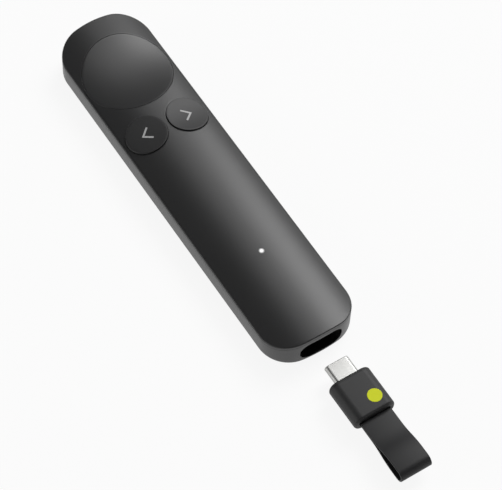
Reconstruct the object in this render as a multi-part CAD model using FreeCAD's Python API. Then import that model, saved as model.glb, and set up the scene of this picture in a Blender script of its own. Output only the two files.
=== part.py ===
import FreeCAD, Part
import math
import os

# Wireless presentation clicker: a slim crowned remote and the plug-in receiver that stores in its end.
# Millimetres. +Z is up through the buttons, +Y points to the main button's end, X runs across.
# The origin is the centre of the remote's flat underside.

# Remote body
body_length = 134.0
body_width = 30.8
body_height = 12.0
crown_rise = 3.6
end_corner_radius = 10.4
end_arc_radius = 60.0
underside_round = 2.0
side_wall = 1.6
floor_thickness = 1.5
cover_thickness = 1.2
cover_edge_break = 0.25
cover_tab_length = 7.0
cover_tab_thickness = 0.8
cover_tab_depth = 1.6
cover_tab_places_from_bottom = [23.0, 47.0, 69.0]

# Buttons
main_button_side_margin = 0.85
main_button_from_top = 22.3
main_dish_depth = 1.45
main_travel = 0.4
main_skirt_bottom = 7.6
main_well_gap = 0.2
small_button_side_margin = 1.3
small_button_between = 1.5
small_button_from_top = 46.1
small_button_lift = 0.55
small_dish_depth = 0.5
small_travel = 0.35
small_skirt_bottom = 8.5
button_skin = 1.2
dish_margin = 0.6
button_gap = 0.15
stem_rib_thickness = 0.9
stem_rib_clear = 0.6
main_button_wall = 1.0
small_button_wall = 0.9
stem_radius = 1.6
stem_rib_count = 3
legend_depth = 0.25
legend_arm_x = 2.5
legend_arm_y = 2.1
legend_stroke = 0.7

# Circuit board and what it carries
board_bottom = 5.6
board_thickness = 1.0
board_wall_gap = 1.4
switch_side = 4.6
switch_height = 1.5
plunger_radius = 0.9
plunger_gap = 0.05
plunger_height = 1.1
plunger_proud = 0.5
screw_radius = 0.7
screw_fit = 0.03
screw_hole_spare = 0.2
screw_board_gap = 0.15
screw_recess_length = 1.6
screw_recess_width = 0.35
screw_head_radius = 1.4
screw_head_height = 0.8
screw_depth = 3.6
boss_radius = 1.7
screw_from_wall = 3.4
screw_places_from_top = [9.0, 52.5]
screw_places_from_bottom = [39.0]
radio_size = (10.0, 12.0, 1.5)
radio_from_top = 76.0
processor_size = (6.0, 6.0, 0.9)
processor_from_top = 64.0
motion_size = (3.0, 3.0, 0.9)
motion_from_top = 57.5
motion_offset_x = 5.5
antenna_size = (2.0, 7.0, 1.0)
antenna_from_bottom = 28.0
antenna_from_edge = 3.4
light_from_bottom = 33.6
light_radius = 0.95
light_fit = 0.03
led_size = (1.6, 1.6, 0.6)
led_gap = 0.1

# Battery, its lead and the vibration motor
battery_side_gap = 0.4
battery_length = 46.0
battery_thickness = 3.5
battery_round = 1.4
battery_from_socket = 2.6
pad_thickness = 0.3
pad_inset = 1.5
lead_radius = 0.45
lead_spacing = 2.4
lead_length = 3.0
lead_plug_size = (6.0, 3.0, 1.8)
lead_socket_size = (8.0, 4.5, 2.8)
lead_plug_step = 0.5
motor_radius = 4.0
motor_thickness = 2.7
motor_from_top = 33.0
cradle_wall = 0.8
cradle_height = 1.6
cradle_gap = 0.1

# Receiver and its storage bay
receiver_width = 14.1
receiver_height = 6.5
receiver_length = 14.4
receiver_side_round = 3.0
receiver_end_round = 0.9
receiver_wall = 0.9
receiver_centre_height = 5.75
receiver_pulled_out = 13.9
bay_gap = 0.35
bay_liner_wall = 0.5
bay_back_wall = 1.0
bay_stop_gap = 0.1
liner_fit = 0.1
nose_thickness = 1.0
plug_width = 8.25
plug_height = 2.4
plug_length = 6.5
plug_wall = 0.3
plug_root = 3.95
plug_fit = 0.06
nose_fit = 0.02
nose_step_length = 1.2
nose_step_overlap = 0.2
nose_step_fit = 0.05
plug_mouth_depth = 5.65
plug_mouth_recess = 0.3
tongue_width = 6.6
tongue_thickness = 0.7
tongue_length = 5.0
tongue_gap = 0.18
socket_wall = 0.3
socket_length = 7.4
socket_back = 0.5
socket_hole_gap = 0.03
socket_ear = 1.6
socket_ear_length = 3.0
socket_ear_from_end = 3.4
socket_ear_thickness = 0.2
socket_ear_overlap = 0.45
board_notch_gap = 0.1
receiver_board_size = (10.0, 6.0, 0.8)
receiver_chip_size = (4.0, 4.0, 0.7)
badge_radius = 2.25
badge_depth = 0.3
badge_proud = 0.05
badge_from_rear = 4.6
badge_offset_x = 2.6

# Strap
strap_width = 10.6
strap_thickness = 0.6
strap_pin_gap = 1.4
strap_pin_fit = 0.05
strap_pin_end_fit = 0.05
strap_pin_inset = 2.3
strap_shut_gap = 0.12
strap_shut_inset = 0.2
strap_shut_run = 5.2
strap_swell_run = 11.5
strap_fold_height = 4.8
strap_fold_run = 2.3
strap_slot_height = 1.9
strap_slot_gap = 0.15

# Worked-out places
half_length = body_length / 2
half_width = body_width / 2
crown_radius = (half_width ** 2 + crown_rise ** 2) / (2 * crown_rise)
main_y = half_length - main_button_from_top
main_button_radius = half_width - main_button_side_margin - button_gap
small_y = half_length - small_button_from_top
small_button_radius = (half_width - small_button_side_margin - button_gap - small_button_between / 2) / 2
small_x = small_button_radius + small_button_between / 2
screw_x = half_width - side_wall - screw_from_wall
battery_width = 2 * (screw_x - boss_radius - battery_side_gap)
light_y = -half_length + light_from_bottom
board_top = board_bottom + board_thickness
plunger_top = board_top + switch_height + plunger_proud
bay_half_width = receiver_width / 2 + bay_gap
bay_half_height = receiver_height / 2 + bay_gap
bay_back_y = -half_length + receiver_length + bay_stop_gap
socket_back_y = bay_back_y + socket_length
receiver_front_y = -half_length - receiver_pulled_out
receiver_rear_y = receiver_front_y - receiver_length
tool_size = 40.0
overshoot = 1.0

os.makedirs("parts", exist_ok=True)


def vec(x, y, z=0.0):
    return FreeCAD.Vector(x, y, z)


def save(name, shape):
    shape.exportStep("parts/" + name + ".step")
    print(name, len(shape.Solids), "solids", round(shape.Volume, 2), "mm3", shape.isValid())


def box(x_size, y_size, z_size, x_centre, y_centre, z_low):
    corner = vec(x_centre - x_size / 2, y_centre - y_size / 2, z_low)
    return Part.makeBox(x_size, y_size, z_size, corner)


def rod(radius, height, x, y, z_low):
    return Part.makeCylinder(radius, height, vec(x, y, z_low))


def crown_height(x):
    return body_height - crown_radius + math.sqrt(crown_radius ** 2 - x ** 2)


# Plan outline of the remote, drawn inwards by inset: two straight sides, four corner arcs, two end arcs.
def plan_prism(inset, z_low, z_high):
    side_x = half_width - inset
    corner_r = end_corner_radius - inset
    end_r = end_arc_radius - inset
    corner_x = side_x - corner_r
    turn = math.asin(corner_x / (end_r - corner_r))
    end_y = half_length - inset
    corner_y = end_y - end_r + (end_r - corner_r) * math.cos(turn)
    end_centre_y = end_y - end_r
    middle = (math.pi / 2 - turn) / 2
    edges = []
    for sign in (1, -1):
        side_top = vec(sign * side_x, sign * corner_y)
        corner_mid = vec(sign * (corner_x + corner_r * math.cos(middle)),
                         sign * (corner_y + corner_r * math.sin(middle)))
        corner_end = vec(sign * (corner_x + corner_r * math.sin(turn)),
                         sign * (corner_y + corner_r * math.cos(turn)))
        far_end = vec(-corner_end.x, corner_end.y)
        far_mid = vec(-corner_mid.x, corner_mid.y)
        far_side = vec(-side_top.x, side_top.y)
        end_mid = vec(0, sign * (end_centre_y + end_r))
        edges.append(Part.LineSegment(vec(sign * side_x, -sign * corner_y), side_top).toShape())
        edges.append(Part.Arc(side_top, corner_mid, corner_end).toShape())
        edges.append(Part.Arc(corner_end, end_mid, far_end).toShape())
        edges.append(Part.Arc(far_end, far_mid, far_side).toShape())
    wire = Part.Wire(Part.__sortEdges__(edges))
    face = Part.Face(wire)
    face.translate(vec(0, 0, z_low))
    return face.extrude(vec(0, 0, z_high - z_low))


# Everything under the crown, lowered by drop: a long bar with a round top.
def under_crown(drop):
    reach = half_width + overshoot
    top = body_height - drop
    side = crown_height(reach) - drop
    points = [vec(-reach, 0, side), vec(-reach, 0, -overshoot), vec(reach, 0, -overshoot), vec(reach, 0, side)]
    edges = [Part.LineSegment(points[i], points[i + 1]).toShape() for i in range(3)]
    edges.append(Part.Arc(points[3], vec(0, 0, top), points[0]).toShape())
    face = Part.Face(Part.Wire(edges))
    face.translate(vec(0, -half_length - overshoot, 0))
    return face.extrude(vec(0, body_length + 2 * overshoot, 0))


# Space above a dished button top: the crown lifted, then sunk in the middle by depth.
def above_dish(x_centre, y_centre, radius, lift, depth):
    reach = radius + dish_margin
    steps = 12
    rows = []
    for i in range(steps + 1):
        x = x_centre - reach + 2 * reach * i / steps
        row = []
        for j in range(steps + 1):
            y = y_centre - reach + 2 * reach * j / steps
            out = ((x - x_centre) ** 2 + (y - y_centre) ** 2) / radius ** 2
            row.append(vec(x, y, crown_height(x) + lift - depth * (1 - out)))
        rows.append(row)
    surface = Part.BSplineSurface()
    surface.interpolate(rows)
    return surface.toShape().extrude(vec(0, 0, tool_size))


# Rounded bar along Y, centred at height z_centre.
def rounded_bar(width, height, radius, y_low, y_high, z_centre):
    bar = box(width, y_high - y_low, height, 0, (y_low + y_high) / 2, z_centre - height / 2)
    long_edges = []
    for edge in bar.Edges:
        ends = edge.Vertexes
        if abs(ends[0].Point.y - ends[1].Point.y) > (y_high - y_low) / 2:
            long_edges.append(edge)
    return bar.makeFillet(radius, long_edges)


def round_end_edges(bar, y_end, radius):
    ends = []
    for edge in bar.Edges:
        if all(abs(v.Point.y - y_end) < 1e-4 for v in edge.Vertexes):
            ends.append(edge)
    return bar.makeFillet(radius, ends)


def flat_slot(width, height, y_low, y_high):
    return rounded_bar(width, height, height / 2 - 0.001, y_low, y_high, receiver_centre_height)


# Screw places: three pairs along the board.
def screw_places():
    rows = [half_length - from_top for from_top in screw_places_from_top]
    rows += [from_bottom - half_length for from_bottom in screw_places_from_bottom]
    return [(side * screw_x, y) for y in rows for side in (-1, 1)]


# Lower shell: the tub with its side walls, end walls, screw bosses and motor cradle.
def make_lower_shell():
    outer = plan_prism(0, 0, body_height + overshoot)
    bottom_edges = []
    for edge in outer.Edges:
        if all(abs(v.Point.z) < 1e-6 for v in edge.Vertexes):
            bottom_edges.append(edge)
    outer = outer.makeFillet(underside_round, bottom_edges)
    shell = outer.common(under_crown(cover_thickness))
    shell = shell.cut(plan_prism(side_wall, floor_thickness, body_height + overshoot))
    well_bottom = main_skirt_bottom - main_travel - main_well_gap
    shell = shell.cut(rod(main_button_radius + button_gap, tool_size, 0, main_y, well_bottom))
    mouth = rounded_bar(2 * bay_half_width, 2 * bay_half_height, receiver_side_round + bay_gap,
                        -half_length - overshoot, bay_back_y, receiver_centre_height)
    shell = shell.cut(mouth)
    for x, y in screw_places():
        boss = rod(boss_radius, board_bottom - floor_thickness, x, y, floor_thickness)
        hole_depth = screw_depth + screw_hole_spare
        hole = rod(screw_radius, hole_depth, x, y, board_top - hole_depth)
        shell = shell.fuse(boss).cut(hole)
    motor_y = half_length - motor_from_top
    ring_r = motor_radius + cradle_gap
    ring = rod(ring_r + cradle_wall, cradle_height, 0, motor_y, floor_thickness)
    ring = ring.cut(rod(ring_r, cradle_height, 0, motor_y, floor_thickness))
    return shell.fuse(ring).removeSplitter()


# Top cover: the crowned plate with its three button holes, light hole and snap tabs.
def make_top_cover():
    outer = plan_prism(0, 0, body_height + overshoot)
    cover = outer.common(under_crown(0))
    cover = cover.cut(under_crown(cover_thickness))
    rim = []
    for edge in cover.Edges:
        middle = edge.valueAt((edge.FirstParameter + edge.LastParameter) / 2)
        on_top = abs(middle.z - crown_height(middle.x)) < 0.01
        if on_top:
            rim.append(edge)
    cover = cover.makeChamfer(cover_edge_break, rim)
    cover = cover.cut(rod(main_button_radius + button_gap, tool_size, 0, main_y, 0))
    for side in (-1, 1):
        cover = cover.cut(rod(small_button_radius + button_gap, tool_size, side * small_x, small_y, 0))
    cover = cover.cut(rod(light_radius + light_fit, tool_size, 0, light_y, 0))
    tab_x = half_width - side_wall - liner_fit - cover_tab_thickness / 2
    tab_low = crown_height(tab_x) - cover_thickness - cover_tab_depth
    for from_bottom in cover_tab_places_from_bottom:
        for side in (-1, 1):
            tab = box(cover_tab_thickness, cover_tab_length, tool_size, side * tab_x,
                      from_bottom - half_length, tab_low)
            tab = tab.common(under_crown(cover_thickness / 2))
            cover = cover.fuse(tab)
    return cover.removeSplitter()


# A dished button: skirt, top skin and a ribbed stem that rests on its switch plunger.
def make_button(x, y, radius, lift, depth, skirt_bottom, wall):
    space = above_dish(x, y, radius, lift, depth)
    cap = rod(radius, tool_size / 2, x, y, skirt_bottom).cut(space)
    lowered = space.copy()
    lowered.translate(vec(0, 0, -button_skin))
    inside = rod(radius - wall, tool_size / 2, x, y, skirt_bottom - overshoot).cut(lowered)
    hollow = cap.cut(inside)
    stem = rod(stem_radius, tool_size / 2, x, y, plunger_top)
    for i in range(stem_rib_count):
        rib = box(stem_rib_thickness, radius - wall / 2, tool_size / 2, 0, (radius - wall / 2) / 2,
                  plunger_top + stem_rib_clear)
        rib.rotate(vec(0, 0, 0), vec(0, 0, 1), 360.0 * i / stem_rib_count)
        rib.translate(vec(x, y, 0))
        stem = stem.fuse(rib)
    trim = space.copy()
    trim.translate(vec(0, 0, -button_skin / 2))
    stem = stem.cut(trim)
    return hollow.fuse(stem).removeSplitter(), cap


# Arrow mark: two strokes meeting at a point on the outer side, set into the button top.
def make_legend(cap, x, y, direction):
    tip = -legend_arm_x / 2
    half = legend_stroke / 2
    reach = math.hypot(legend_arm_x, legend_arm_y)
    run = half * reach / legend_arm_y
    drop = half * legend_arm_y / reach
    side = half * legend_arm_x / reach
    end_x = tip + legend_arm_x
    points = [
        vec(tip - run, 0),
        vec(end_x - drop, legend_arm_y + side),
        vec(end_x + drop, legend_arm_y - side),
        vec(tip + run, 0),
        vec(end_x + drop, -legend_arm_y + side),
        vec(end_x - drop, -legend_arm_y - side),
    ]
    wire = Part.makePolygon(points + [points[0]])
    mark = Part.Face(wire).extrude(vec(0, 0, tool_size))
    if direction > 0:
        mark.rotate(vec(0, 0, 0), vec(0, 0, 1), 180)
    mark.translate(vec(x, y, 0))
    lowered = cap.copy()
    lowered.translate(vec(0, 0, -legend_depth))
    legend = mark.common(cap).cut(lowered)
    keep = [s for s in legend.Solids if s.BoundBox.ZMin > small_skirt_bottom]
    return Part.makeCompound(keep) if len(keep) > 1 else keep[0]


def make_switch(x, y):
    body = box(switch_side, switch_side, switch_height, x, y, board_top)
    bore_bottom = plunger_top - plunger_height - max(main_travel, small_travel) - plunger_gap
    body = body.cut(rod(plunger_radius + plunger_gap, tool_size, x, y, bore_bottom))
    plunger = rod(plunger_radius, plunger_height, x, y, plunger_top - plunger_height)
    return body, plunger


def make_main_board():
    board = plan_prism(side_wall + board_wall_gap, board_bottom, board_top)
    front = bay_back_y + bay_back_wall + liner_fit
    board = board.cut(box(body_width, tool_size, tool_size, 0, front - tool_size / 2, 0))
    notch_width = plug_width + 2 * (plug_fit + socket_wall + board_notch_gap)
    notch_length = socket_back_y + board_notch_gap - front
    board = board.cut(box(notch_width, notch_length + overshoot, tool_size, 0,
                          front + (notch_length - overshoot) / 2, 0))
    for x, y in screw_places():
        board = board.cut(rod(screw_radius + screw_board_gap, tool_size, x, y, 0))
    return board


def make_board_screws():
    screws = []
    for x, y in screw_places():
        shank = rod(screw_radius - screw_fit, screw_depth, x, y, board_top - screw_depth)
        head = rod(screw_head_radius, screw_head_height, x, y, board_top)
        slot_depth = screw_head_height / 2
        for turn in (0, 90):
            cut = box(screw_recess_length, screw_recess_width, slot_depth, 0, 0, board_top + slot_depth)
            cut.rotate(vec(0, 0, 0), vec(0, 0, 1), turn)
            cut.translate(vec(x, y, 0))
            head = head.cut(cut)
        screws.append(shank.fuse(head).removeSplitter())
    return Part.makeCompound(screws)


# Bay liner: the smooth sleeve that the stored receiver slides into, closed at the back round the socket.
def make_bay_liner():
    half_w = bay_half_width + bay_liner_wall
    half_h = bay_half_height + bay_liner_wall
    back = bay_back_y + bay_back_wall
    bay_round = receiver_side_round + bay_gap
    liner = rounded_bar(2 * half_w, 2 * half_h, bay_round + bay_liner_wall,
                        -half_length - overshoot, back, receiver_centre_height)
    room = rounded_bar(2 * bay_half_width, 2 * bay_half_height, bay_round,
                       -half_length - 2 * overshoot, bay_back_y, receiver_centre_height)
    liner = liner.cut(room)
    socket_hole = plug_fit + socket_wall + socket_hole_gap
    liner = liner.cut(flat_slot(plug_width + 2 * socket_hole, plug_height + 2 * socket_hole,
                                bay_back_y - overshoot, back + overshoot))
    inside = plan_prism(side_wall, floor_thickness, body_height + overshoot)
    return liner.common(inside)


# Charging socket: a flat steel tube with two ears soldered to the board.
def make_socket_shell():
    grow = plug_fit + socket_wall
    tube = flat_slot(plug_width + 2 * grow, plug_height + 2 * grow, bay_back_y, socket_back_y)
    tube = tube.cut(flat_slot(plug_width + 2 * plug_fit, plug_height + 2 * plug_fit,
                              bay_back_y - overshoot, socket_back_y - socket_back))
    half = plug_width / 2 + grow
    for side in (-1, 1):
        x = side * (half - socket_ear_overlap + (socket_ear + socket_ear_overlap) / 2)
        ear = box(socket_ear + socket_ear_overlap, socket_ear_length, socket_ear_thickness,
                  x, socket_back_y - socket_ear_from_end, board_top)
        tube = tube.fuse(ear)
    return tube.removeSplitter()


def make_socket_tongue():
    y_low = socket_back_y - socket_back - tongue_length
    low = receiver_centre_height - tongue_thickness / 2
    return box(tongue_width, tongue_length, tongue_thickness, 0, y_low + tongue_length / 2, low)


def make_receiver_sleeve():
    body = rounded_bar(receiver_width, receiver_height, receiver_side_round,
                       receiver_rear_y, receiver_front_y - nose_thickness, receiver_centre_height)
    body = round_end_edges(body, receiver_rear_y, receiver_end_round)
    body = body.cut(rounded_bar(receiver_width - 2 * receiver_wall, receiver_height - 2 * receiver_wall,
                                receiver_side_round - receiver_wall, receiver_rear_y + receiver_wall,
                                receiver_front_y, receiver_centre_height))
    body = body.cut(box(strap_width + 2 * strap_slot_gap, 3 * receiver_wall, strap_slot_height, 0,
                        receiver_rear_y, receiver_centre_height - strap_slot_height / 2))
    recess_low = receiver_centre_height + receiver_height / 2 - badge_depth
    recess = rod(badge_radius, overshoot, badge_offset_x, receiver_rear_y + badge_from_rear, recess_low)
    return body.cut(recess)


def make_receiver_nose():
    y_low = receiver_front_y - nose_thickness
    nose = rounded_bar(receiver_width, receiver_height, receiver_side_round,
                       y_low, receiver_front_y, receiver_centre_height)
    nose = round_end_edges(nose, receiver_front_y, receiver_end_round)
    inset = receiver_wall + nose_step_fit
    step = rounded_bar(receiver_width - 2 * inset, receiver_height - 2 * inset, receiver_side_round - inset,
                       y_low - nose_step_length, y_low + nose_step_overlap, receiver_centre_height)
    nose = nose.fuse(step)
    return nose.cut(flat_slot(plug_width + 2 * nose_fit, plug_height + 2 * nose_fit,
                              y_low - nose_step_length - overshoot, receiver_front_y + overshoot))


def make_plug():
    root_y = receiver_front_y - plug_root
    tip_y = receiver_front_y + plug_length
    tube = flat_slot(plug_width, plug_height, root_y, tip_y)
    inner_w = plug_width - 2 * plug_wall
    inner_h = plug_height - 2 * plug_wall
    tube = tube.cut(flat_slot(inner_w, inner_h, root_y - overshoot, tip_y + overshoot))
    core = flat_slot(inner_w, inner_h, root_y, tip_y - plug_mouth_recess)
    mouth_h = tongue_thickness + 2 * tongue_gap
    mouth_y = tip_y - plug_mouth_depth
    core = core.cut(box(tongue_width + 2 * tongue_gap, plug_mouth_depth, mouth_h, 0,
                        mouth_y + plug_mouth_depth / 2, receiver_centre_height - mouth_h / 2))
    return tube, core


# Half of a loop's outline, reach outside the band's inner face: two plies that part round the pin,
# lie together as they leave the receiver, and swell to the fold. Points are (y, height over the middle).
def strap_half(reach):
    pin_y = receiver_rear_y + strap_pin_inset
    fold_y = receiver_rear_y - strap_shut_run - strap_swell_run - strap_fold_run
    pin = strap_pin_gap / 2
    shut = strap_shut_gap / 2
    full = strap_fold_height / 2 - strap_thickness
    bends = [(pin_y, pin, receiver_rear_y + strap_shut_inset, shut),
             (receiver_rear_y - strap_shut_run, shut, fold_y + strap_fold_run, full)]
    arcs = []
    for y_start, start, y_end, end in bends:
        run, rise = y_start - y_end, end - start
        sign = math.copysign(1, rise)
        radius = sign * (run ** 2 + rise ** 2) / (4 * abs(rise))
        angle = 2 * math.atan(abs(rise) / run)
        near, far = radius - reach, radius + reach
        arcs.append([(y_start - abs(near) * math.sin(a), start + radius - near * math.cos(a))
                     for a in (0, angle / 2, angle)])
        arcs.append([(y_end + abs(far) * math.sin(a), end - radius + far * math.cos(a))
                     for a in (angle, angle / 2, 0)])
    return arcs, (pin_y, pin + reach), (fold_y, full + reach)


# Strap: a flat band folded into a loop round its pin.
def make_strap():
    def solid(reach):
        arcs, pin, fold = strap_half(reach)
        edges = []
        for side in (1, -1):
            half = [[vec(0, y, receiver_centre_height + side * h) for y, h in arc] for arc in arcs]
            edges += [Part.Arc(*arc).toShape() for arc in half]
            edges.append(Part.LineSegment(half[1][2], half[2][0]).toShape())
            edges.append(Part.LineSegment(half[3][2], vec(0, fold[0], half[3][2].z)).toShape())
        for (y, h), out in ((pin, 1), (fold, -1)):
            edges.append(Part.Arc(vec(0, y, receiver_centre_height + h),
                                  vec(0, y + out * h, receiver_centre_height),
                                  vec(0, y, receiver_centre_height - h)).toShape())
        face = Part.Face(Part.Wire(Part.__sortEdges__(edges)))
        face.translate(vec(-strap_width / 2, 0, 0))
        return face.extrude(vec(strap_width, 0, 0)), face.OuterWire.Length

    outer, outer_length = solid(strap_thickness)
    inner, inner_length = solid(0)
    print("strap flat length", round((outer_length + inner_length) / 2, 1), "mm by", strap_width, "mm")
    return outer.cut(inner)


def make_strap_pin():
    radius = strap_pin_gap / 2 - strap_pin_fit
    length = receiver_width - 2 * receiver_wall - 2 * strap_pin_end_fit
    return Part.makeCylinder(radius, length, vec(-length / 2, receiver_rear_y + strap_pin_inset,
                                                 receiver_centre_height), vec(1, 0, 0))


# Remote: shells
save("lower_shell", make_lower_shell())
save("top_cover", make_top_cover())

# Remote: buttons, their marks and their switches
main_cap = make_button(0, main_y, main_button_radius, 0, main_dish_depth, main_skirt_bottom, main_button_wall)
save("main_button", main_cap[0])
for name, side in (("back", -1), ("next", 1)):
    cap, solid_cap = make_button(side * small_x, small_y, small_button_radius, small_button_lift,
                                 small_dish_depth, small_skirt_bottom, small_button_wall)
    mark = make_legend(solid_cap, side * small_x, small_y, side)
    save(name + "_arrow_mark", mark)
    save(name + "_button", cap.cut(mark))
for name, x, y in (("main", 0, main_y), ("back", -small_x, small_y), ("next", small_x, small_y)):
    switch_body, plunger = make_switch(x, y)
    save(name + "_switch", switch_body)
    save(name + "_switch_plunger", plunger)

# Remote: board, its parts and screws
save("main_board", make_main_board())
save("board_screws", make_board_screws())
save("radio_shield", box(*radio_size, 0, half_length - radio_from_top, board_top))
save("processor_chip", box(*processor_size, 0, half_length - processor_from_top, board_top))
save("motion_sensor", box(*motion_size, motion_offset_x, half_length - motion_from_top, board_top))
antenna_x = half_width - side_wall - board_wall_gap - antenna_from_edge
save("antenna", box(*antenna_size, antenna_x, -half_length + antenna_from_bottom, board_top))
save("status_led", box(*led_size, 0, light_y, board_top))
pipe_low = board_top + led_size[2] + led_gap
save("light_pipe", rod(light_radius, tool_size, 0, light_y, pipe_low).common(under_crown(0)))

# Remote: battery, lead and motor
battery_y = socket_back_y + battery_from_socket + battery_length / 2
battery_low = floor_thickness + pad_thickness
pad = box(battery_width - 2 * pad_inset, battery_length - 2 * pad_inset, pad_thickness,
          0, battery_y, floor_thickness)
save("battery_pad", pad)
cell = rounded_bar(battery_width, battery_thickness, battery_round,
                   battery_y - battery_length / 2, battery_y + battery_length / 2,
                   battery_low + battery_thickness / 2)
save("battery_pouch", cell)
lead_y = battery_y + battery_length / 2
lead_z = board_bottom - lead_socket_size[2] / 2
leads = []
for side in (-1, 1):
    leads.append(Part.makeCylinder(lead_radius, lead_length, vec(side * lead_spacing / 2, lead_y, lead_z),
                                   vec(0, 1, 0)))
save("battery_leads", Part.makeCompound(leads))
plug_y = lead_y + lead_length
battery_plug = box(*lead_plug_size, 0, plug_y + lead_plug_size[1] / 2, lead_z - lead_plug_size[2] / 2)
save("battery_plug", battery_plug)
socket_y = plug_y + lead_plug_step + lead_socket_size[1] / 2
socket = box(*lead_socket_size, 0, socket_y, board_bottom - lead_socket_size[2])
save("battery_socket", socket.cut(battery_plug))
motor = rod(motor_radius, motor_thickness, 0, half_length - motor_from_top, floor_thickness)
save("vibration_motor", motor)

# Remote: receiver bay and charging socket
save("bay_liner", make_bay_liner())
save("charging_socket_shell", make_socket_shell())
save("charging_socket_tongue", make_socket_tongue())

# Receiver
plug_shell, plug_core = make_plug()
save("receiver_sleeve", make_receiver_sleeve())
save("receiver_nose", make_receiver_nose())
save("receiver_plug_shell", plug_shell)
save("receiver_plug_core", plug_core)
board_front = receiver_front_y - plug_root
board_low = receiver_centre_height - receiver_board_size[2] / 2
receiver_board_y = board_front - receiver_board_size[1] / 2
save("receiver_board", box(*receiver_board_size, 0, receiver_board_y, board_low))
save("receiver_chip", box(*receiver_chip_size, 0, receiver_board_y, board_low + receiver_board_size[2]))
badge_low = receiver_centre_height + receiver_height / 2 - badge_depth
save("receiver_badge", rod(badge_radius, badge_depth + badge_proud, badge_offset_x,
                           receiver_rear_y + badge_from_rear, badge_low))
save("strap_loop", make_strap())
save("strap_pin", make_strap_pin())
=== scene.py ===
import math

import bpy
import bmesh
from mathutils import Matrix, Vector


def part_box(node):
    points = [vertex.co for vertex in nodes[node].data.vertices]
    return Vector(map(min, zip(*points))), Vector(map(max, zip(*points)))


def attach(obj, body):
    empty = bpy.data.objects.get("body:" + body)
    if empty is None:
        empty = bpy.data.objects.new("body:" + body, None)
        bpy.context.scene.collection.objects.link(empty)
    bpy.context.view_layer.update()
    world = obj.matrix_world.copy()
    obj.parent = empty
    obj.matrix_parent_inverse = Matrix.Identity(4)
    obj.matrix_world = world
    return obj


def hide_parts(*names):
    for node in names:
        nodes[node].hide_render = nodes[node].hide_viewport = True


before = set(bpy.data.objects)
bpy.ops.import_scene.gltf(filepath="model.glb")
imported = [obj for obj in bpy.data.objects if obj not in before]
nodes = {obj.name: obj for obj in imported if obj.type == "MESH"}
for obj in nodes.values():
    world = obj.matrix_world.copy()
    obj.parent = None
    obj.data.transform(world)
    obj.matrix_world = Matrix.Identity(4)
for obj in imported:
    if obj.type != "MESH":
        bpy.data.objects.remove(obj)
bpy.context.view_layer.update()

mm = 0.001
weldDistance = 1e-7
print("frame loaded:", len(nodes), "nodes")


# Small helpers for meshes

def meshFrom(bm, name):
    mesh = bpy.data.meshes.new(name)
    bm.to_mesh(mesh)
    bm.free()
    return mesh


def linked(name, data):
    thing = bpy.data.objects.new(name, data)
    bpy.context.scene.collection.objects.link(thing)
    return thing


def evaluatedMesh(piece):
    bpy.context.view_layer.update()
    depsgraph = bpy.context.evaluated_depsgraph_get()
    mesh = bpy.data.meshes.new_from_object(piece.evaluated_get(depsgraph))
    piece.modifiers.clear()
    return mesh


def addMesh(name, bm, material, body, replaced=()):
    bmesh.ops.remove_doubles(bm, verts=bm.verts, dist=weldDistance)
    bmesh.ops.recalc_face_normals(bm, faces=bm.faces)
    return finishPiece(name, meshFrom(bm, name), material, body, replaced)


def finishPiece(name, mesh, material, body, replaced=(), sharpAngle=32):
    piece = linked(name, mesh)
    mesh.materials.clear()
    mesh.materials.append(material)
    mesh.shade_smooth()
    mesh.set_sharp_from_angle(angle=math.radians(sharpAngle))
    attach(piece, body)
    if replaced:
        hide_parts(*replaced)
    return piece


def joinedLoops(bm, rings, closed=False):  # rings of equal count joined by quads
    loops = [[bm.verts.new(p) for p in ring] for ring in rings]
    for a, b in zip(loops, loops[1:] + (loops[:1] if closed else [])):
        for i in range(len(a)):
            j = (i + 1) % len(a)
            bm.faces.new((a[i], a[j], b[j], b[i]))
    return loops


def closedTube(rings):
    bm = bmesh.new()
    joinedLoops(bm, rings, True)
    return bm


def ringSolid(rings, bm=None):  # both ends closed by a flat face
    bm = bm or bmesh.new()
    loops = joinedLoops(bm, rings)
    bm.faces.new(loops[0])
    bm.faces.new(reversed(loops[-1]))
    return bm


def arcSteps(count):  # a quarter turn as (inwards, outwards) shares, from the flat face to the side wall
    return [(1 - math.sin(a), 1 - math.cos(a)) for a in (math.pi / 2 * i / count for i in range(count + 1))]


# Small helpers for materials

def linear(hexColour):
    channels = [int(hexColour[i:i + 2], 16) / 255 for i in (1, 3, 5)]
    return [c / 12.92 if c <= 0.04045 else ((c + 0.055) / 1.055) ** 2.4 for c in channels] + [1.0]


def addNode(tree, kind, links=None, **settings):
    node = tree.nodes.new(kind)
    for key, value in settings.items():
        setattr(node, key, value)
    for socket, source in (links or {}).items():
        if isinstance(source, bpy.types.NodeSocket):
            tree.links.new(source, node.inputs[socket])
        else:
            node.inputs[socket].default_value = source
    return node


def newMaterial(name):
    material = bpy.data.materials.new(name)
    material.use_nodes = True
    material.node_tree.nodes.clear()
    return material, material.node_tree


def principled(material, links):
    tree = material.node_tree
    shader = addNode(tree, "ShaderNodeBsdfPrincipled", links)
    addNode(tree, "ShaderNodeOutputMaterial", {"Surface": shader.outputs["BSDF"]})
    return material


plasticGrain = {"broadTone": 18 * mm, "detail": 3.0, "detailShare": 0.6, "roughnessSpread": 0.03,
                "reliefHeight": 0.02 * mm}


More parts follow.
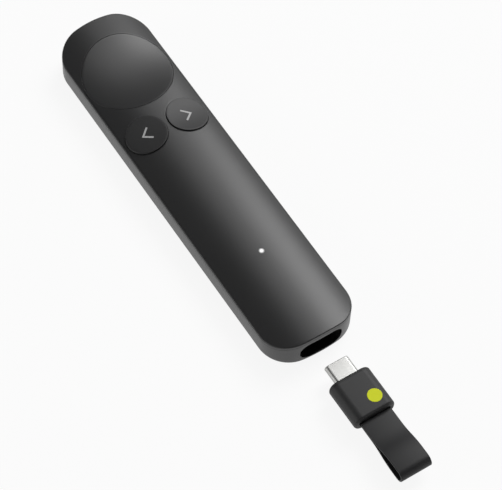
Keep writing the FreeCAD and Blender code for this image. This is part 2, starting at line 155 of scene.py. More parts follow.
def mouldedPlastic(name, light, dark, roughness, grain, bump, ior=1.5, specular=0.5):
    material, tree = newMaterial(name)
    where = addNode(tree, "ShaderNodeTexCoord")
    fine = addNode(tree, "ShaderNodeTexNoise", {"Vector": where.outputs["Object"], "Scale": 1 / (grain * mm),
                                                "Detail": plasticGrain["detail"],
                                                "Roughness": plasticGrain["detailShare"]})
    broad = addNode(tree, "ShaderNodeTexNoise", {"Vector": where.outputs["Object"],
                                                 "Scale": 1 / plasticGrain["broadTone"]})
    tone = addNode(tree, "ShaderNodeMix", {"Factor": broad.outputs["Fac"]}, data_type="RGBA")
    for socket in tone.inputs:
        if socket.type == "RGBA":
            socket.default_value = linear(dark if socket.name == "A" else light)
    spread = plasticGrain["roughnessSpread"]
    rough = addNode(tree, "ShaderNodeMapRange", {"Value": fine.outputs["Fac"],
                                                 "From Min": 0.3, "From Max": 0.7,
                                                 "To Min": roughness - spread,
                                                 "To Max": roughness + spread})
    relief = addNode(tree, "ShaderNodeBump", {"Height": fine.outputs["Fac"], "Strength": bump,
                                              "Distance": plasticGrain["reliefHeight"]})
    colour = [socket for socket in tone.outputs if socket.type == "RGBA"][0]
    return principled(material, {"Base Color": colour, "Roughness": rough.outputs["Result"],
                                 "Normal": relief.outputs["Normal"], "IOR": ior,
                                 "Specular IOR Level": specular})


def plainMetal(name, hexColour, roughness, streak):
    material, tree = newMaterial(name)
    where = addNode(tree, "ShaderNodeTexCoord")
    turn = addNode(tree, "ShaderNodeMapping", {"Vector": where.outputs["Object"],
                                               "Scale": (1.0, 0.08, 1.0)})  # long along the drawing direction
    lines = addNode(tree, "ShaderNodeTexNoise", {"Vector": turn.outputs["Vector"], "Scale": 1 / (streak * mm),
                                                 "Detail": 4.0})
    rough = addNode(tree, "ShaderNodeMapRange", {"Value": lines.outputs["Fac"], "To Min": roughness - 0.06,
                                                 "To Max": roughness + 0.08})
    return principled(material, {"Base Color": linear(hexColour), "Metallic": 1.0,
                                 "Roughness": rough.outputs["Result"]})


def glowingLens(name, hexColour, unlit, strength, node):
    material, tree = newMaterial(name)
    where = addNode(tree, "ShaderNodeTexCoord")
    low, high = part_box(node)
    radius = (high.x - low.x) / 2
    middle = addNode(tree, "ShaderNodeVectorMath", {0: where.outputs["Object"], 1: tuple((low + high) / 2)},
                     operation="SUBTRACT")
    flat = addNode(tree, "ShaderNodeVectorMath", {0: middle.outputs["Vector"], 1: (1, 1, 0)},
                   operation="MULTIPLY")
    reach = addNode(tree, "ShaderNodeVectorMath", {0: flat.outputs["Vector"]}, operation="LENGTH")
    glow = addNode(tree, "ShaderNodeMapRange", {"Value": reach.outputs["Value"],
                                                "From Min": 0.2 * radius, "From Max": radius,
                                                "To Min": strength, "To Max": 0.04 * strength},
                   interpolation_type="SMOOTHSTEP")
    cloud = addNode(tree, "ShaderNodeTexNoise", {"Vector": where.outputs["Object"], "Scale": 1 / (0.8 * mm)})
    rough = addNode(tree, "ShaderNodeMapRange", {"Value": cloud.outputs["Fac"],
                                                 "To Min": 0.2, "To Max": 0.35})
    return principled(material, {"Base Color": linear(unlit), "Roughness": rough.outputs["Result"],
                                 "Emission Color": linear(hexColour),
                                 "Emission Strength": glow.outputs["Result"]})


# Materials, each named for the real finish, the bay's also for its painted shade: colours, roughness, grain
# in mm, relief, then IOR and specular

# satin moulded ABS: soft wide highlight
graphiteAbs = mouldedPlastic("graphiteSatinAbs", "#2c2c2d", "#292929", 0.37, 0.25, 0.10)
# same resin, moulded in its own tool
buttonAbs = mouldedPlastic("graphiteButtonAbs", "#2c2c2d", "#292929", 0.37, 0.25, 0.10)
# fine blasted tool: broader, duller highlight
softKeyAbs = mouldedPlastic("finelyBlastedKeyAbs", "#282829", "#252525", 0.48, 0.2, 0.15, 1.5, 0.42)
# black ABS made near black, far darker than the shell: painted shade of the deep bay
bayAbsPaintedShade = mouldedPlastic("nearBlackBayPaintedShade", "#0b0b0b", "#090909", 0.55, 0.3, 0.15)
# second-shot grey plastic
arrowInk = mouldedPlastic("lightGreyArrowInlay", "#b4b4b4", "#acacac", 0.5, 0.3, 0.05)
# spark-textured ABS: nearly matte
receiverAbs = mouldedPlastic("darkTexturedAbs", "#2c2c2d", "#282828", 0.55, 0.2, 0.2, 1.5, 0.4)
# silicone with a dry matte skin
strapSilicone = mouldedPlastic("darkSiliconeBand", "#282829", "#242425", 0.52, 0.15, 0.15, 1.41, 0.42)
# bright moulded inlay
badgeInlay = mouldedPlastic("yellowGreenInlay", "#e4ec16", "#dde514", 0.6, 0.3, 0.05, 1.5, 0.3)
# glass-filled board under resist
boardResist = mouldedPlastic("greenSolderResist", "#1c5a3c", "#174f34", 0.35, 0.4, 0.1)
# natural nylon plungers and connectors
ivoryNylon = mouldedPlastic("ivoryNylon", "#ded8c8", "#d4cebd", 0.45, 0.3, 0.1)
# moulded epoxy chip bodies
chipEpoxy = mouldedPlastic("blackChipEpoxy", "#141414", "#101010", 0.5, 0.15, 0.2)
# open foam tape
padFoam = mouldedPlastic("blackFoamTape", "#1a1a1a", "#131313", 0.9, 0.4, 0.6)
# frosted acrylic over a white LED
lensAcrylic = glowingLens("litAcrylicLens", "#ffffff", "#6a6a6a", 1.0, "light_pipe")
# drawn steel with satin nickel plating
nickelPlug = plainMetal("nickelPlatedSteel", "#b0b0ae", 0.44, 1.2)
# small steel parts
zincSteel = plainMetal("zincPlatedSteel", "#bdbdba", 0.35, 0.3)
# laminated aluminium pouch
batteryFoil = plainMetal("pouchFoil", "#b9bcc2", 0.4, 0.8)

nodeMaterials = {
    boardResist: ["main_board", "receiver_board"],
    chipEpoxy: ["processor_chip", "motion_sensor", "receiver_chip", "main_switch", "back_switch",
                "next_switch", "battery_leads", "charging_socket_tongue", "receiver_plug_core"],
    ivoryNylon: ["main_switch_plunger", "back_switch_plunger", "next_switch_plunger", "battery_plug",
                 "battery_socket", "antenna"],
    zincSteel: ["board_screws", "radio_shield", "charging_socket_shell", "vibration_motor", "strap_pin"],
    batteryFoil: ["battery_pouch"],
    padFoam: ["battery_pad"],
    lensAcrylic: ["status_led", "light_pipe"],
    graphiteAbs: ["lower_shell", "top_cover"],
    buttonAbs: ["main_button"],
    softKeyAbs: ["back_button", "next_button"],
    arrowInk: ["back_arrow_mark", "next_arrow_mark"],
    bayAbsPaintedShade: ["bay_liner"],
    receiverAbs: ["receiver_sleeve", "receiver_nose"],
    nickelPlug: ["receiver_plug_shell"],
    badgeInlay: ["receiver_badge"],
    strapSilicone: ["strap_loop"],
}
for material, names in nodeMaterials.items():
    for name in names:
        nodes[name].data.materials.clear()
        nodes[name].data.materials.append(material)
print("materials made:", len(nodeMaterials))


# The remote's own shape, read from the frame
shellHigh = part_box("lower_shell")[1]
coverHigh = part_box("top_cover")[1]
remote = {
    "halfWidth": shellHigh.x,
    "halfLength": shellHigh.y,
    "height": coverHigh.z,
    "crownRise": 3.6 * mm,
    "cornerRadius": 10.4 * mm,
    "endRadius": 60.0 * mm,
    "coverThickness": 1.2 * mm,
    "edgeRound": 0.32 * mm,
    "undersideRound": 2.0 * mm,
    "undersideSteps": 10,
    "edgeSteps": 6,
    "lip": 0.06 * mm,
    "holeRound": 0.1 * mm,
    "holeSteps": 3,
    "wall": 0.75 * mm,
    "floor": 1.5 * mm,
    "seam": 0.03 * mm,
    "cornerSteps": 40,
    "endSteps": 24,
    "stripWidth": 0.7 * mm,
    "calmBand": 0.3 * mm,  # a flat ring beside each rounded rim, so its shading doesn't run into the crown
}
crownRadius = (remote["halfWidth"] ** 2 + remote["crownRise"] ** 2) / (2 * remote["crownRise"])


def crownHeight(x):
    across = min(abs(x), remote["halfWidth"])
    return remote["height"] - crownRadius + math.sqrt(crownRadius ** 2 - across ** 2)


def planOutline(inset):
    cornerX = remote["halfWidth"] - remote["cornerRadius"]
    reach = remote["endRadius"] - remote["cornerRadius"]
    turn = math.asin(cornerX / reach)
    endY = remote["halfLength"] - remote["endRadius"]
    cornerY = endY + reach * math.cos(turn)
    cornerR = remote["cornerRadius"] - inset
    endR = remote["endRadius"] - inset
    quarter = []
    for i in range(remote["cornerSteps"] + 1):
        a = (math.pi / 2 - turn) * i / remote["cornerSteps"]
        quarter.append((cornerX + cornerR * math.cos(a), cornerY + cornerR * math.sin(a)))
    top = []
    for i in range(1, remote["endSteps"]):
        a = turn - 2 * turn * i / remote["endSteps"]
        top.append((endR * math.sin(a), endY + endR * math.cos(a)))
    half = quarter + top + [(-x, y) for x, y in reversed(quarter)]
    return half + [(-x, -y) for x, y in half]


def circle(centre, radius, count):
    return [(centre[0] + radius * math.cos(2 * math.pi * i / count),
             centre[1] + radius * math.sin(2 * math.pi * i / count)) for i in range(count)]


# Lower shell: floor, inner wall, rim, outer wall, rounded underside edge
def makeLowerShell():
    outer = planOutline(0)
    inner = planOutline(remote["wall"])
    seamDrop = remote["coverThickness"] + remote["seam"]
    lip = remote["lip"]
    rings = [
        [(x, y, remote["floor"]) for x, y in inner],
        [(x, y, crownHeight(x) - seamDrop) for x, y in inner],
        [(x, y, crownHeight(x) - seamDrop) for x, y in planOutline(lip)],
        [(x, y, crownHeight(x) - seamDrop - lip) for x, y in outer],
    ]
    r = remote["undersideRound"]
    for across, down in reversed(arcSteps(remote["undersideSteps"])):
        rings.append([(x, y, down * r) for x, y in planOutline(across * r)])
    return ringSolid(rings)


receiverLow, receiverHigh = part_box("receiver_sleeve")
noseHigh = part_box("receiver_nose")[1]
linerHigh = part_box("bay_liner")[1]
bay = {
    "centreZ": (receiverLow.z + receiverHigh.z) / 2,
    "halfWidth": receiverHigh.x + 0.35 * mm,
    "halfHeight": (receiverHigh.z - receiverLow.z) / 2 + 0.35 * mm,
    "radius": 3.35 * mm,
    "linerWall": 0.5 * mm,
    "linerFit": 0.02 * mm,
    "backWall": 1.0 * mm,
    "mouthRound": 0.25 * mm,
    "mouthDepth": 5 * mm,
    "socketHole": (4.53 * mm, 1.6 * mm, 1.59 * mm),
}


# A rounded rectangle in X and Z round the bay's middle line, given as points at one Y
def sectionLoop(halfWidth, halfHeight, radius, y, steps=12):
    points = []
    for sx, sz, start in ((1, 1, 0), (-1, 1, 90), (-1, -1, 180), (1, -1, 270)):
        for i in range(steps + 1):
            a = math.radians(start + 90 * i / steps)
            points.append((sx * (halfWidth - radius) + radius * math.cos(a), y,
                           bay["centreZ"] + sz * (halfHeight - radius) + radius * math.sin(a)))
    return points


def bayLoop(grow, y):
    return sectionLoop(bay["halfWidth"] + grow, bay["halfHeight"] + grow, bay["radius"] + grow, y)


def cutWith(piece, cutterMesh):
    cutter = linked("cutter", cutterMesh)
    cut = piece.modifiers.new("mouth", "BOOLEAN")
    cut.object = cutter
    cut.operation = "DIFFERENCE"
    cut.solver = "EXACT"
    result = evaluatedMesh(piece)
    bpy.data.objects.remove(cutter)
    return result


def shellWithMouth():
    wide = bay["mouthRound"]
    endY = -remote["halfLength"]
    mouth = ringSolid([bayLoop(4 * wide, endY - 3 * wide), bayLoop(0, endY + wide),
                       bayLoop(0, endY + bay["mouthDepth"])])
    solids = []
    for name, bm in (("lowerShellBlank", makeLowerShell()), ("mouthCutter", mouth)):
        bmesh.ops.recalc_face_normals(bm, faces=bm.faces)
        solids.append(meshFrom(bm, name))
    blank = linked("lowerShellBlank", solids[0])
    result = cutWith(blank, solids[1])
    bpy.data.objects.remove(blank)
    return result


finishPiece("lowerShell", shellWithMouth(), graphiteAbs, "remote", ["lower_shell"])
print("lower shell made")


# Bay liner: a smooth sleeve, coloured near black as painted shade, with a socket opening in its back
def makeBayLiner():
    front = -remote["halfLength"] + remote["wall"] + bay["linerFit"]
    back = linerHigh.y
    inner = back - bay["backWall"]
    wall = bay["linerWall"]
    return closedTube([bayLoop(wall, front), bayLoop(wall, back), sectionLoop(*bay["socketHole"], back),
                       sectionLoop(*bay["socketHole"], inner), bayLoop(0, inner), bayLoop(0, front)])


# the liner's near-black colour is painted shade of the deep bay
addMesh("bayLiner", makeBayLiner(), bayAbsPaintedShade, "remote", ["bay_liner"])


# Buttons: a dished top on concentric rings, a rounded rim, a skirt and a stem
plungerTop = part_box("main_switch_plunger")[1].z
mainKey = {"finish": buttonAbs, "lift": 0.0, "depth": 1.45 * mm, "round": 0.12 * mm, "wall": 1.0 * mm,
           "steps": 128}
softKey = {"finish": softKeyAbs, "lift": 0.55 * mm, "depth": 0.5 * mm, "round": 0.18 * mm, "wall": 0.9 * mm,
           "steps": 96}
buttons = {}
for name, node, shape in (("mainButton", "main_button", mainKey), ("backButton", "back_button", softKey),
                          ("nextButton", "next_button", softKey)):
    low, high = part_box(node)
    buttons[name] = {"node": node, "low": low, "high": high, **shape}
allButtons = {"skin": 1.2 * mm, "gap": 0.06 * mm, "rimSteps": 4, "ringWidth": 0.6 * mm, "fewestRings": 8,
              "stemRadius": 1.6 * mm, "stemSteps": 32}


def buttonPlace(button):
    centre = ((button["low"].x + button["high"].x) / 2, (button["low"].y + button["high"].y) / 2)
    return centre, (button["high"].x - button["low"].x) / 2


def dishHeight(button, x, y):
    centre, radius = buttonPlace(button)
    out = ((x - centre[0]) ** 2 + (y - centre[1]) ** 2) / radius ** 2
    return crownHeight(x) + button["lift"] - button["depth"] * (1 - out)


def makeButton(button):
    centre, radius = buttonPlace(button)
    count = button["steps"]
    edge = button["round"]
    bottom = button["low"].z
    flat = radius - edge
    rings = []
    skin = allButtons["skin"]
    spread = max(allButtons["fewestRings"], int(radius / allButtons["ringWidth"]))
    for i in range(1, spread + 1):
        rings.append([(x, y, dishHeight(button, x, y)) for x, y in circle(centre, flat * i / spread, count)])
    for across, down in arcSteps(allButtons["rimSteps"])[1:]:
        r = radius - across * edge
        rings.append([(x, y, dishHeight(button, x, y) - down * edge) for x, y in circle(centre, r, count)])
    rings.append([(x, y, bottom) for x, y in circle(centre, radius, count)])
    rings.append([(x, y, bottom) for x, y in circle(centre, radius - button["wall"], count)])
    for i in range(spread, 0, -2):
        r = (radius - button["wall"]) * i / spread
        rings.append([(x, y, dishHeight(button, x, y) - skin) for x, y in circle(centre, r, count)])
    bm = ringSolid(rings)
    stem = circle(centre, allButtons["stemRadius"], allButtons["stemSteps"])
    stemTop = dishHeight(button, *centre) - skin / 2
    ringSolid([[(x, y, stemTop) for x, y in stem], [(x, y, plungerTop) for x, y in stem]], bm)
    return bm


for name, button in buttons.items():
    addMesh(name, makeButton(button), button["finish"], button["node"], [button["node"]])
print("buttons made")


# Arrow marks: a mitred stroke laid on the dish, a hair proud of it
arrow = {"armX": 2.5 * mm, "armY": 2.1 * mm, "halfStroke": 0.29 * mm, "proud": 0.03 * mm, "depth": 0.25 * mm,
         "stations": 9}


def makeArrow(button, direction):
    centre, _ = buttonPlace(button)
    reach = math.hypot(arrow["armX"], arrow["armY"])
    ux, uy = arrow["armX"] / reach, arrow["armY"] / reach
    half = arrow["halfStroke"]
    rows = []
    count = arrow["stations"]
    for side in (1, -1):
        steps = range(count, 0, -1) if side == 1 else range(1, count + 1)
        for i in steps:
            t = i / count
            x, y = -arrow["armX"] / 2 + arrow["armX"] * t, side * arrow["armY"] * t
            rows.append(((x - half * uy, y + side * half * ux), (x + half * uy, y - side * half * ux)))
        if side == 1:
            rows.append(((-arrow["armX"] / 2 - half / uy, 0), (-arrow["armX"] / 2 + half / uy, 0)))
    rings = []
    for outer, inner in rows:
        ring = []
        for (x, y), up in ((outer, 1), (inner, 1), (inner, 0), (outer, 0)):
            px, py = centre[0] - direction * x, centre[1] + y
            lift = arrow["proud"] if up else -arrow["depth"]
            ring.append((px, py, dishHeight(button, px, py) + lift))
        rings.append(ring)
    return ringSolid(rings)


for side, direction in (("back", -1), ("next", 1)):
    addMesh(side + "Arrow", makeArrow(buttons[side + "Button"], direction), arrowInk, side + "_button",
            [side + "_arrow_mark"])


# Top cover: flat layers with the holes in place, cut into strips, then lifted to the crown
lensLow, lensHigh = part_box("light_pipe")
lens = {"centre": ((lensLow.x + lensHigh.x) / 2, (lensLow.y + lensHigh.y) / 2),
        "radius": (lensHigh.x - lensLow.x) / 2, "fit": 0.03 * mm, "steps": 40,
        "ringShares": (0.2, 0.5, 0.8, 0.95), "proud": 0.02 * mm, "rimDrop": 0.04 * mm}


def makeTopCover():
    thick = remote["coverThickness"]
    bm = bmesh.new()

    def chain(outlines):  # outlines from the top face down, each (points, drop)
        loops = joinedLoops(bm, [[(x, y, -drop) for x, y in points] for points, drop in outlines])
        return loops[0], loops[-1]

    edge = remote["edgeRound"]
    outer = [(planOutline(edge + remote["calmBand"]), 0)]
    outer += [(planOutline(across * edge), down * edge) for across, down in arcSteps(remote["edgeSteps"])]
    outer.append((planOutline(0), thick - remote["lip"]))
    outer.append((planOutline(remote["lip"]), thick))
    ends = [chain(outer)]
    for button in buttons.values():
        centre, radius = buttonPlace(button)
        hole = radius + allButtons["gap"]
        r = remote["holeRound"]
        count = button["steps"]
        steps = [(circle(centre, hole + r + remote["calmBand"], count), 0)]
        for across, down in arcSteps(remote["holeSteps"]):
            steps.append((circle(centre, hole + across * r, count), down * r))
        ends.append(chain(steps + [(circle(centre, hole, count), thick)]))
    lightHole = circle(lens["centre"], lens["radius"] + lens["fit"], lens["steps"])
    around = circle(lens["centre"], lens["radius"] + remote["calmBand"], lens["steps"])
    ends.append(chain([(around, 0), (lightHole, 0), (lightHole, thick)]))
    for which in (0, 1):
        edges = []
        for pair in ends:
            loop = pair[which]
            for i in range(len(loop)):
                edges.append(bm.edges.get((loop[i], loop[(i + 1) % len(loop)])))
        bmesh.ops.triangle_fill(bm, edges=edges, use_beauty=True, use_dissolve=False)
    strips = int(2 * remote["halfWidth"] / remote["stripWidth"])
    for i in range(1, strips):
        x = -remote["halfWidth"] + 2 * remote["halfWidth"] * i / strips
        geometry = bm.verts[:] + bm.edges[:] + bm.faces[:]
        bmesh.ops.bisect_plane(bm, geom=geometry, plane_co=(x, 0, 0), plane_no=(1, 0, 0), dist=weldDistance)
    for vert in bm.verts:
        vert.co.z += crownHeight(vert.co.x)
    return bm


addMesh("topCover", makeTopCover(), graphiteAbs, "remote", ["top_cover"])
print("top cover made")


# Status light: a frosted lens flush with the crown
def makeLens():
    def ring(share):
        return circle(lens["centre"], share * lens["radius"], lens["steps"])
    rings = [[(x, y, crownHeight(x) + lens["proud"]) for x, y in ring(share)] for share in lens["ringShares"]]
    rings.append([(x, y, crownHeight(x) - lens["rimDrop"]) for x, y in ring(1)])
    rings.append([(x, y, lensLow.z) for x, y in ring(1)])
    return ringSolid(rings)


addMesh("statusLens", makeLens(), lensAcrylic, "remote", ["light_pipe"])


# Receiver: a rounded block in two mouldings, the plug, the badge and the strap
plugLow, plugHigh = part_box("receiver_plug_shell")
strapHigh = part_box("strap_loop")[1]
receiver = {
    "halfWidth": receiverHigh.x,
    "halfHeight": (receiverHigh.z - receiverLow.z) / 2,
    "sideRound": 3.0 * mm,
    "endRound": 0.9 * mm,
    "wall": 0.9 * mm,
    "front": noseHigh.y,
    "rear": receiverLow.y,
    "noseLength": 1.0 * mm,
    "slotHalfWidth": strapHigh.x + 0.15 * mm,
    "slotHalfHeight": 0.95 * mm,
    "slotRound": 0.4 * mm,
    "slotLip": 0.3 * mm,
    "slotSteps": 5,
    "endSteps": 8,
    "sectionSteps": 16,
    "smallestRound": 0.2 * mm,
    "splitGap": 0.02 * mm,
    "splitLip": 0.04 * mm,
    "insideStep": 0.01 * mm,
    "plugFit": 0.02 * mm,
    "plugHoleLip": 0.12 * mm,
}


def blockLoop(inset, y):
    return sectionLoop(receiver["halfWidth"] - inset, receiver["halfHeight"] - inset,
                       max(receiver["sideRound"] - inset, receiver["smallestRound"]), y,
                       receiver["sectionSteps"])


def slotLoop(grow, y):
    return sectionLoop(receiver["slotHalfWidth"] + grow, receiver["slotHalfHeight"] + grow,
                       receiver["slotRound"] + grow, y, receiver["sectionSteps"])


def flatPlugLoop(halfWidth, halfHeight, y, steps):  # a bar section with half-round sides
    return sectionLoop(halfWidth, halfHeight, halfHeight - 1e-6, y, steps)


def makeSleeve():
    split = receiver["front"] - receiver["noseLength"] - receiver["splitGap"]
    rear = receiver["rear"]
    r = receiver["endRound"]
    wall = receiver["wall"]
    lip = receiver["slotLip"]
    loops = [blockLoop(wall, split), blockLoop(receiver["splitLip"], split),
             blockLoop(0, split - receiver["splitLip"])]
    for across, down in reversed(arcSteps(receiver["endSteps"])):
        loops.append(blockLoop(across * r, rear + down * r))
    for across, down in arcSteps(receiver["slotSteps"]):
        loops.append(slotLoop(across * lip, rear + down * lip))
    loops.append(slotLoop(0, rear + wall))
    loops.append(blockLoop(wall, rear + wall + receiver["insideStep"]))
    return closedTube(loops)


def makeNose():
    front = receiver["front"]
    split = front - receiver["noseLength"]
    r = receiver["endRound"]
    lip = receiver["plugHoleLip"]
    fit = receiver["plugFit"]

    def plugHole(y, grow=0.0):
        return flatPlugLoop(plugHigh.x + fit + grow, (plugHigh.z - plugLow.z) / 2 + fit + grow, y,
                            receiver["sectionSteps"])
    loops = [plugHole(split), blockLoop(receiver["splitLip"], split),
             blockLoop(0, split + receiver["splitLip"])]
    for across, down in reversed(arcSteps(receiver["endSteps"])):
        loops.append(blockLoop(across * r, front - down * r))
    loops.append(plugHole(front, lip))
    loops.append(plugHole(front - lip))
    return closedTube(loops)


addMesh("receiverSleeve", makeSleeve(), receiverAbs, "receiver", ["receiver_sleeve"])
addMesh("receiverNose", makeNose(), receiverAbs, "receiver", ["receiver_nose"])

plug = {"wall": 0.3 * mm, "tipRound": 0.25 * mm, "tipSteps": 5, "mouthInset": 0.05 * mm, "sectionSteps": 20}


def makePlug():
    def loop(inset, y):
        return flatPlugLoop(plugHigh.x - inset, (plugHigh.z - plugLow.z) / 2 - inset, y, plug["sectionSteps"])
    r = plug["tipRound"]
    loops = [loop(plug["wall"], plugLow.y), loop(0, plugLow.y)]
    for across, down in reversed(arcSteps(plug["tipSteps"])):
        loops.append(loop(across * r, plugHigh.y - down * r))
    loops.append(loop(plug["wall"], plugHigh.y - plug["mouthInset"]))
    return closedTube(loops)


addMesh("plugShell", makePlug(), nickelPlug, "receiver", ["receiver_plug_shell"])

badgeLow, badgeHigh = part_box("receiver_badge")
badge = {"soft": 0.04 * mm, "steps": 64}


def makeBadge():
    centre = ((badgeLow.x + badgeHigh.x) / 2, (badgeLow.y + badgeHigh.y) / 2)
    radius = (badgeHigh.x - badgeLow.x) / 2
    soft = badge["soft"]
    return ringSolid([[(x, y, z) for x, y in circle(centre, r, badge["steps"])]
                      for r, z in ((radius - soft, badgeHigh.z), (radius, badgeHigh.z - soft),
                                   (radius, badgeLow.z))])


addMesh("receiverBadge", makeBadge(), badgeInlay, "receiver", ["receiver_badge"])
print("receiver made")


# Strap: one flat band swept round a loop by Geometry Nodes
strap = {
    "thickness": 0.6 * mm,
    "edgeRound": 0.16 * mm,
    "edgeSteps": 4,
    "pinInset": 2.3 * mm,
    "pinGap": 1.4 * mm,
    "shutInset": 0.2 * mm,
    "shutGap": 0.12 * mm,
    "shutRun": 5.2 * mm,
    "swellRun": 11.5 * mm,
    "foldHeight": 4.8 * mm,
    "foldRun": 2.3 * mm,
    "bendSteps": 14,
}


def strapPath():  # the band's middle line: round the pin, shut at the receiver, swelling to the fold
    reach = strap["thickness"] / 2
    pinY = receiver["rear"] + strap["pinInset"]
    openY = receiver["rear"] - strap["shutRun"]
    fullY = openY - strap["swellRun"]
    foldY = fullY - strap["foldRun"]
    pin, shut = strap["pinGap"] / 2, strap["shutGap"] / 2
    full = strap["foldHeight"] / 2 - strap["thickness"]
    upper = []
    steps = strap["bendSteps"]
    for startY, start, endY, end in ((pinY, pin, receiver["rear"] + strap["shutInset"], shut),
                                     (openY, shut, fullY, full)):
        run, rise = startY - endY, end - start
        radius = math.copysign((run ** 2 + rise ** 2) / (4 * abs(rise)), rise)
        turn = 2 * math.atan(abs(rise) / run)
        for i in range(steps + 1):
            a = turn * i / steps
            upper.append((startY - abs(radius - reach) * math.sin(a),
                          start + radius - (radius - reach) * math.cos(a)))
        for i in range(steps - 1, -1, -1):
            a = turn * i / steps
            upper.append((endY + abs(radius + reach) * math.sin(a),
                          end - radius + (radius + reach) * math.cos(a)))
    points = list(upper)
    for i in range(steps + 1):
        a = math.pi * i / steps
        points.append((foldY - (full + reach) * math.sin(a), (full + reach) * math.cos(a)))
    points += [(y, -z) for y, z in reversed(upper)]
    for i in range(1, steps):
        a = math.pi * i / steps
        points.append((pinY + (pin + reach) * math.sin(a), -(pin + reach) * math.cos(a)))
    return [(y, bay["centreZ"] + z) for y, z in points]


def strapTree():
    tree = bpy.data.node_groups.new("flatBandAlongPath", "GeometryNodeTree")
    face = tree.interface
    face.new_socket("Path", in_out="INPUT", socket_type="NodeSocketGeometry")
    for label in ("Width", "Thickness", "Edge Round"):
        face.new_socket(label, in_out="INPUT", socket_type="NodeSocketFloat")
    face.new_socket("Band", in_out="OUTPUT", socket_type="NodeSocketGeometry")
    group = addNode(tree, "NodeGroupInput")
    size = {"Width": group.outputs["Width"], "Height": group.outputs["Thickness"]}
    profile = addNode(tree, "GeometryNodeCurvePrimitiveQuadrilateral", size)
    rounded = addNode(tree, "GeometryNodeFilletCurve", {"Curve": profile.outputs["Curve"],
                                                        "Radius": group.outputs["Edge Round"],
                                                        "Count": strap["edgeSteps"]},
                      mode="POLY")
    sweep = addNode(tree, "GeometryNodeCurveToMesh", {"Curve": group.outputs["Path"],
                                                      "Profile Curve": rounded.outputs["Curve"]})
    real = addNode(tree, "GeometryNodeRealizeInstances", {"Geometry": sweep.outputs["Mesh"]})
    dressed = addNode(tree, "GeometryNodeSetMaterial", {"Geometry": real.outputs["Geometry"],
                                                        "Material": strapSilicone})
    addNode(tree, "NodeGroupOutput", {"Band": dressed.outputs["Geometry"]})
    return tree


def plainMeshFromTree(carrier, tree, values):
    grow = carrier.modifiers.new(tree.name, "NODES")
    grow.node_group = tree
    for item in tree.interface.items_tree:
        if item.in_out == "INPUT" and item.name in values:
            grow[item.identifier] = values[item.name]
    mesh = evaluatedMesh(carrier)
    bpy.data.objects.remove(carrier)
    return mesh


def makeStrap():
    path = bpy.data.curves.new("strapPath", "CURVE")
    path.dimensions = "3D"
    spline = path.splines.new("POLY")
    points = strapPath()
    spline.points.add(len(points) - 1)
    for point, (y, z) in zip(spline.points, points):
        point.co = (0, y, z, 1)
    spline.use_cyclic_u = True
    path.twist_mode = "MINIMUM"
    values = {"Width": 2 * strapHigh.x, "Thickness": strap["thickness"], "Edge Round": strap["edgeRound"]}
    return plainMeshFromTree(linked("strapPath", path), strapTree(), values)


finishPiece("strapBand", makeStrap(), strapSilicone, "receiver", ["strap_loop"], 50)
print("strap made")


# Studio: floor, lamps, world and camera. The backdrop is pale low down and dark overhead.
studio = {
    "floorColour": "#f4f4f4",
    "floorHalf": 3.0,
    "floorWhite": 0.9,
    "worldLow": 0.92,
    "worldHigh": 0.05,
    "fadeFrom": 0.12,
    "fadeTo": 0.35,
}
softbox = {"distance": 2.0, "side": 0.98}
lamps = {  # direction from the object, power in watts
    "keySoftbox": {"towards": (0.675, 0.235, 0.700), "power": 26.5},
    "topSoftbox": {"towards": (0.305, 0.300, 0.900), "power": 7.5},
    "leftFill": {"towards": (-0.920, 0.250, 0.300), "power": 8.0},
}
camera = {"azimuth": -35.097, "elevation": 58.560, "roll": 2.991, "target": (0.000481, -0.027064, 0.006),
          "distance": 0.74153, "lens": 175.204, "sensor": 36.0}


def makeFloor():
    bm = bmesh.new()
    half = studio["floorHalf"]
    corners = ((-half, -half), (half, -half), (half, half), (-half, half))
    bm.faces.new([bm.verts.new((x, y, 0)) for x, y in corners])
    mesh = meshFrom(bm, "studioFloor")
    floor = linked("studioFloor", mesh)
    material, tree = newMaterial("paleStudioFloor")
    paper = addNode(tree, "ShaderNodeBsdfDiffuse", {"Color": linear(studio["floorColour"])})
    white = addNode(tree, "ShaderNodeEmission", {"Color": (1, 1, 1, 1), "Strength": 1.0})
    ray = addNode(tree, "ShaderNodeLightPath")
    seen = ray.outputs["Is Camera Ray"]
    for kind in ("Is Glossy Ray", "Is Transmission Ray"):
        seen = addNode(tree, "ShaderNodeMath", {0: seen, 1: ray.outputs[kind]},
                       operation="MAXIMUM").outputs["Value"]
    share = addNode(tree, "ShaderNodeMath", {0: seen, 1: studio["floorWhite"]},
                    operation="MULTIPLY")
    shader = addNode(tree, "ShaderNodeMixShader", {0: share.outputs["Value"], 1: paper.outputs["BSDF"],
                                                   2: white.outputs["Emission"]})
    addNode(tree, "ShaderNodeOutputMaterial", {"Surface": shader.outputs["Shader"]})
    mesh.materials.append(material)


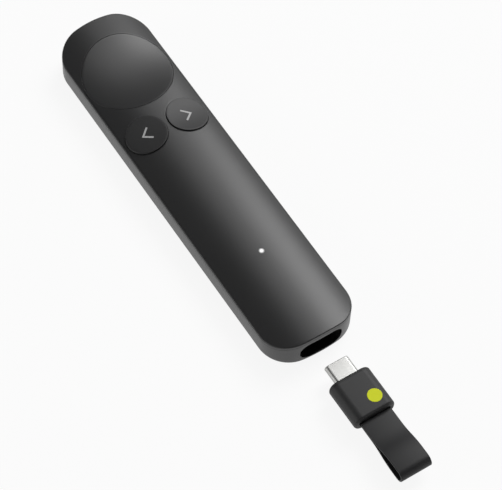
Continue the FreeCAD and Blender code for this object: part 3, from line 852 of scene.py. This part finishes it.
def makeWorld():
    world = bpy.data.worlds.new("studioWorld")
    bpy.context.scene.world = world
    world.use_nodes = True
    tree = world.node_tree
    tree.nodes.clear()
    where = addNode(tree, "ShaderNodeTexCoord")
    axes = addNode(tree, "ShaderNodeSeparateXYZ", {"Vector": where.outputs["Generated"]})
    fade = addNode(tree, "ShaderNodeMapRange", {"Value": axes.outputs["Z"],
                                                "From Min": studio["fadeFrom"], "From Max": studio["fadeTo"],
                                                "To Min": studio["worldLow"], "To Max": studio["worldHigh"]},
                   interpolation_type="SMOOTHSTEP")
    glow = addNode(tree, "ShaderNodeBackground", {"Color": (1, 1, 1, 1), "Strength": fade.outputs["Result"]})
    addNode(tree, "ShaderNodeOutputWorld", {"Surface": glow.outputs["Background"]})


def makeLamps():
    for name, lamp in lamps.items():
        data = bpy.data.lights.new(name, "AREA")
        data.shape = "SQUARE"
        data.size = softbox["side"]
        data.energy = lamp["power"]
        light = linked(name, data)
        direction = Vector(lamp["towards"]).normalized()
        light.matrix_world = (Matrix.Translation(direction * softbox["distance"])
                              @ direction.to_track_quat("Z", "Y").to_matrix().to_4x4())


def makeCamera():
    az, el, roll = (math.radians(camera[k]) for k in ("azimuth", "elevation", "roll"))
    back = Vector((math.sin(az) * math.cos(el), -math.cos(az) * math.cos(el), math.sin(el)))
    right = Vector((math.cos(az), math.sin(az), 0))
    up = back.cross(right)
    turnedRight = right * math.cos(roll) + up * math.sin(roll)
    turnedUp = up * math.cos(roll) - right * math.sin(roll)
    place = Vector(camera["target"]) + back * camera["distance"]
    data = bpy.data.cameras.new("photoCamera")
    data.lens = camera["lens"]
    data.sensor_width = camera["sensor"]
    data.clip_start = 0.01
    holder = linked("photoCamera", data)
    basis = Matrix((turnedRight, turnedUp, back)).transposed().to_4x4()
    holder.matrix_world = Matrix.Translation(place) @ basis
    bpy.context.scene.camera = holder


makeFloor()
makeWorld()
makeLamps()
makeCamera()
bpy.context.scene.view_settings.view_transform = "Standard"
print("studio made")
